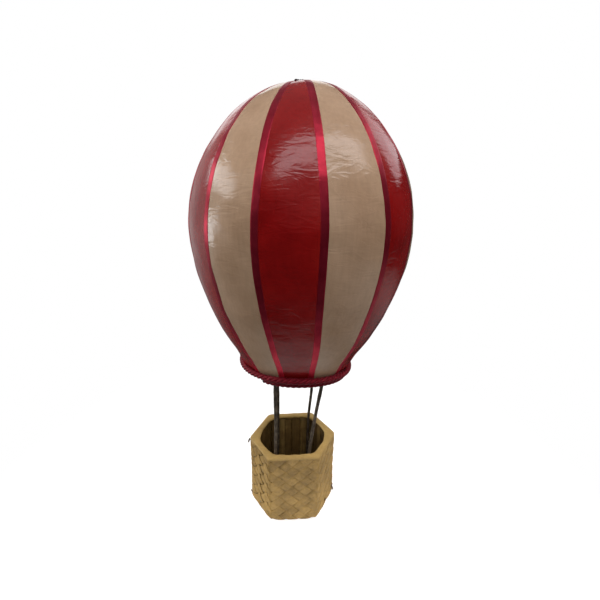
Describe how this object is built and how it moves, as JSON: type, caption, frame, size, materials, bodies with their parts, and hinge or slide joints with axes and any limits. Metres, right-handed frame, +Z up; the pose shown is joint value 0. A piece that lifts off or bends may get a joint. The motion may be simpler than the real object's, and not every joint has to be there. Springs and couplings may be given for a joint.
{
  "type": "decorative hot air balloon model",
  "caption": "Ornamental balloon: a varnished papier-mache envelope in red and beige gores with satin ribbon on the seams, on cane sticks above a woven straw basket",
  "frame": {"origin": "middle of the basket's flat underside", "axes": "+Z up along the balloon, -Y towards the side seen in the picture, +X to the right in it"},
  "size_m": [0.2206, 0.222, 0.5038],
  "materials": {
    "papier_mache": "papier-mache painted in alternate dark red and beige gores under gloss varnish",
    "satin_ribbon": "crimson satin ribbon, shiny along its length",
    "crown_thread": "dark knotted thread",
    "satin_cord": "twisted crimson satin cord",
    "dark_cane": "thin dark cane, dull",
    "woven_straw": "flat straw strips in a diagonal twill weave, satin",
    "rim_straw": "smooth paler rolled strip",
    "aged_slats": "dark upright slats, dull"
  },
  "bodies": {
    "root": {"envelope": "papier_mache", "ribbon_01": "satin_ribbon", "ribbon_02": "satin_ribbon", "ribbon_03": "satin_ribbon", "ribbon_04": "satin_ribbon", "ribbon_05": "satin_ribbon", "ribbon_06": "satin_ribbon", "ribbon_07": "satin_ribbon", "ribbon_08": "satin_ribbon", "ribbon_09": "satin_ribbon", "ribbon_10": "satin_ribbon", "ribbon_11": "satin_ribbon", "ribbon_12": "satin_ribbon", "ribbon_13": "satin_ribbon", "ribbon_14": "satin_ribbon", "crown_knot": "crown_thread", "mouth_cord": "satin_cord", "stick_front_left": "dark_cane", "stick_front_right": "dark_cane", "stick_back_left": "dark_cane", "stick_back_right": "dark_cane", "basket_wall": "woven_straw", "basket_floor": "woven_straw", "basket_rim": "rim_straw", "lining_1": "aged_slats", "lining_2": "aged_slats", "lining_3": "aged_slats", "lining_4": "aged_slats", "lining_5": "aged_slats", "lining_6": "aged_slats"}
  },
  "joints": []
}
